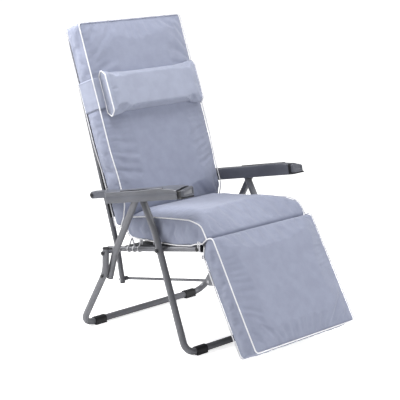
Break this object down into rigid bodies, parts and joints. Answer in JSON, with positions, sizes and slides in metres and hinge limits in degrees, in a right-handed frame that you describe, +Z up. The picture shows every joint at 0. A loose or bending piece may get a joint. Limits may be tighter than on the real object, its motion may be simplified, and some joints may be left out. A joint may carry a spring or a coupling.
{
  "type": "folding relaxer chair",
  "caption": "Padded folding garden relaxer: tube frame with crossed legs, reclining high back with head pillow, linked footrest and sloping hollow armrests.",
  "frame": {"origin": "bottom centre of the whole chair's box, on the floor, in the pose pictured", "axes": "+X to the sitter's left, +Y to the rear, +Z up; the sitter faces -Y"},
  "size_m": [0.674, 1.0078, 1.1379],
  "materials": {
    "powder_coat": "satin",
    "armrest_plastic": "satin",
    "black_plastic": "matte",
    "cushion_fabric": "woven",
    "band_fabric": "woven",
    "sling_fabric": "mesh",
    "tie_webbing": "webbing",
    "zinc_steel": "zinc plated"
  },
  "bodies": {
    "seat": {"seat_rail_right": "powder_coat", "seat_rail_left": "powder_coat", "seat_rail_caps": "black_plastic", "seat_front_crossbar": "powder_coat", "seat_rear_crossbar": "powder_coat", "seat_sling": "sling_fabric", "seat_cushion": "cushion_fabric", "seat_ties": "tie_webbing", "hinge_bolts": "zinc_steel", "leg_bolts": "zinc_steel"},
    "front_legs": {"front_leg_right": "powder_coat", "front_leg_left": "powder_coat", "front_floor_bar": "powder_coat", "front_leg_caps": "black_plastic", "apex_pins": "zinc_steel", "front_feet": "black_plastic"},
    "rear_legs": {"rear_leg_right": "powder_coat", "rear_leg_left": "powder_coat", "rear_floor_bar": "powder_coat", "rear_leg_caps": "black_plastic", "rear_leg_pins": "zinc_steel", "rear_feet": "black_plastic"},
    "strut_right": {"strut_tube_right": "powder_coat", "strut_caps_right": "black_plastic", "strut_pin_right": "zinc_steel"},
    "strut_left": {"strut_tube_left": "powder_coat", "strut_caps_left": "black_plastic", "strut_pin_left": "zinc_steel"},
    "back": {"back_tube_right": "powder_coat", "back_tube_left": "powder_coat", "back_top_bar": "powder_coat", "back_tube_caps": "black_plastic", "back_sling": "sling_fabric", "back_cushion": "cushion_fabric", "back_ties": "tie_webbing", "head_pillow": "cushion_fabric", "pillow_band": "band_fabric", "armrest_pivots": "zinc_steel", "back_link_pins": "zinc_steel"},
    "footrest": {"footrest_tube_right": "powder_coat", "footrest_tube_left": "powder_coat", "footrest_end_bar": "powder_coat", "footrest_tube_caps": "black_plastic", "footrest_sling": "sling_fabric", "footrest_cushion": "cushion_fabric", "footrest_ties": "tie_webbing", "footrest_link_plates": "powder_coat", "footrest_link_pins": "zinc_steel"},
    "link_right": {"link_rod_right": "powder_coat"},
    "link_left": {"link_rod_left": "powder_coat"},
    "armrest_right": {"armrest_shell_right": "armrest_plastic", "armrest_cap_right": "black_plastic", "armrest_rack_right": "black_plastic"},
    "armrest_left": {"armrest_shell_left": "armrest_plastic", "armrest_cap_left": "black_plastic", "armrest_rack_left": "black_plastic"}
  },
  "joints": [
    {"name": "recline", "type": "hinge", "parent": "seat", "child": "back", "pos_m": [0, 0.2379, 0.3155], "axis": [-1, 0, 0], "range_deg": [0, 50]},
    {"name": "footrest_tilt", "type": "hinge", "parent": "seat", "child": "footrest", "pos_m": [0, -0.2261, 0.4035], "axis": [-1, 0, 0], "range_deg": [0, 50]},
    {"name": "link_right_swing", "type": "hinge", "parent": "back", "child": "link_right", "pos_m": [0, 0.2149, 0.198], "axis": [-1, 0, 0], "range_deg": [-50, 0]},
    {"name": "link_left_swing", "type": "hinge", "parent": "back", "child": "link_left", "pos_m": [0, 0.2149, 0.198], "axis": [-1, 0, 0], "range_deg": [-50, 0]},
    {"name": "armrest_right_swing", "type": "hinge", "parent": "back", "child": "armrest_right", "pos_m": [0, 0.3034, 0.517], "axis": [-1, 0, 0], "range_deg": [-37.25, 0]},
    {"name": "armrest_left_swing", "type": "hinge", "parent": "back", "child": "armrest_left", "pos_m": [0, 0.3034, 0.517], "axis": [-1, 0, 0], "range_deg": [-37.25, 0]},
    {"name": "leg_fold", "type": "hinge", "parent": "seat", "child": "front_legs", "pos_m": [0, -0.048, 0.36972], "axis": [1, 0, 0], "range_deg": [0, 72]},
    {"name": "rear_leg_fold", "type": "hinge", "parent": "seat", "child": "rear_legs", "pos_m": [0, 0.18799, 0.32497], "axis": [-1, 0, 0], "range_deg": [0, 72]},
    {"name": "strut_right_fold", "type": "hinge", "parent": "front_legs", "child": "strut_right", "pos_m": [0, 0.0429, 0.547], "axis": [-1, 0, 0], "range_deg": [0, 45]},
    {"name": "strut_left_fold", "type": "hinge", "parent": "front_legs", "child": "strut_left", "pos_m": [0, 0.0429, 0.547], "axis": [-1, 0, 0], "range_deg": [0, 45]}
  ],
  "couplings": [
    {"joint": "footrest_tilt", "follows": "recline", "ratio": 1},
    {"joint": "link_right_swing", "follows": "recline", "ratio": -1},
    {"joint": "link_left_swing", "follows": "recline", "ratio": -1},
    {"joint": "armrest_right_swing", "follows": "recline", "ratio": -0.7444},
    {"joint": "armrest_left_swing", "follows": "recline", "ratio": -0.7444},
    {"joint": "rear_leg_fold", "follows": "leg_fold", "ratio": 1},
    {"joint": "strut_right_fold", "follows": "leg_fold", "ratio": 0.623},
    {"joint": "strut_left_fold", "follows": "leg_fold", "ratio": 0.623}
  ]
}
